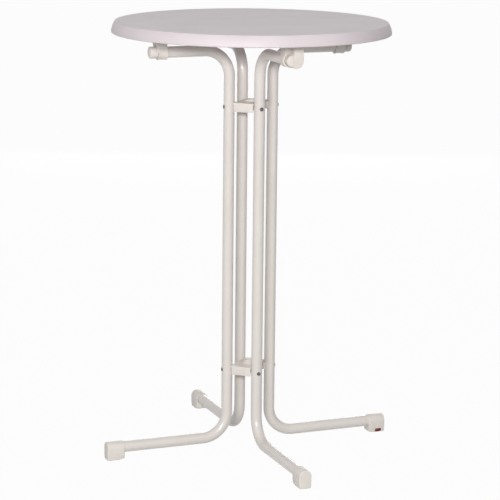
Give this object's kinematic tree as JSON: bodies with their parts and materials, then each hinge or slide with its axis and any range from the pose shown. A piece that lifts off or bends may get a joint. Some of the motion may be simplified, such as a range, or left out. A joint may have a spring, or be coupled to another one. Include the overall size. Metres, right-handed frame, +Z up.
{
  "type": "folding bar-height table",
  "caption": "Round bar-height garden table on bent steel tubes; one pair of tubes turns in two hubs to fold the base.",
  "frame": {"origin": "floor level under the centre of the board, where the middle axis of the hubs meets the floor", "axes": "+Z up, +X along the right arm, in line with the left and right arms on which the board is carried; +Y along the rear arm"},
  "size_m": [0.77, 0.77, 1.1],
  "materials": {
    "board_white": "fine-grained moulded board, satin white with a grey-mauve cast",
    "painted_steel": "glossy warm white powder coat",
    "moulded_white": "satin cream-white moulding",
    "screw_steel": "dark blued steel, half gloss",
    "red_plastic": "dark red moulding"
  },
  "bodies": {
    "root": {"table_top": "board_white", "tube_right": "painted_steel", "arm_cap_right": "moulded_white", "foot_cap_right": "moulded_white", "upper_tube_screw_right": "screw_steel", "lower_tube_screw_right": "screw_steel", "tube_left": "painted_steel", "arm_cap_left": "moulded_white", "foot_cap_left": "moulded_white", "upper_tube_screw_left": "screw_steel", "lower_tube_screw_left": "screw_steel", "bearing_left": "moulded_white", "bearing_screw_left_1": "screw_steel", "bearing_screw_left_2": "screw_steel", "bearing_right": "moulded_white", "bearing_screw_right_1": "screw_steel", "bearing_screw_right_2": "screw_steel", "clip_front": "moulded_white", "catch_front": "moulded_white", "catch_screw_front": "screw_steel", "clip_screw_front_1": "screw_steel", "clip_screw_front_2": "screw_steel", "clip_rear": "moulded_white", "catch_rear": "moulded_white", "catch_screw_rear": "screw_steel", "clip_screw_rear_1": "screw_steel", "clip_screw_rear_2": "screw_steel", "upper_hub_shell": "moulded_white", "upper_hub_bush": "moulded_white", "lower_hub_shell": "moulded_white", "lower_hub_bush": "moulded_white"},
    "folding_pair": {"tube_front": "painted_steel", "arm_cap_front": "moulded_white", "foot_cap_front": "moulded_white", "upper_tube_screw_front": "screw_steel", "lower_tube_screw_front": "screw_steel", "tube_rear": "painted_steel", "arm_cap_rear": "moulded_white", "foot_cap_rear": "moulded_white", "upper_tube_screw_rear": "screw_steel", "lower_tube_screw_rear": "screw_steel", "upper_hub_rotor": "moulded_white", "lower_hub_rotor": "moulded_white"},
    "levelling_screw": {"levelling_stud": "screw_steel"},
    "levelling_knob": {"levelling_wheel": "red_plastic"}
  },
  "joints": [
    {"name": "leg_fold", "type": "hinge", "parent": "root", "child": "folding_pair", "pos_m": [0, 0, 0.5], "axis": [0, 0, 1], "range_deg": [0, 60]},
    {"name": "levelling_travel", "type": "slide", "parent": "root", "child": "levelling_screw", "axis": [0, 0, -1], "range_m": [0, 0.0038]},
    {"name": "levelling_turn", "type": "hinge", "parent": "levelling_screw", "child": "levelling_knob", "pos_m": [0.3675, 0, 0.005], "axis": [0, 0, -1], "range_deg": [0, 1080]}
  ],
  "couplings": [
    {"joint": "levelling_travel", "follows": "levelling_turn", "m_per_rad": 0.00019894}
  ]
}
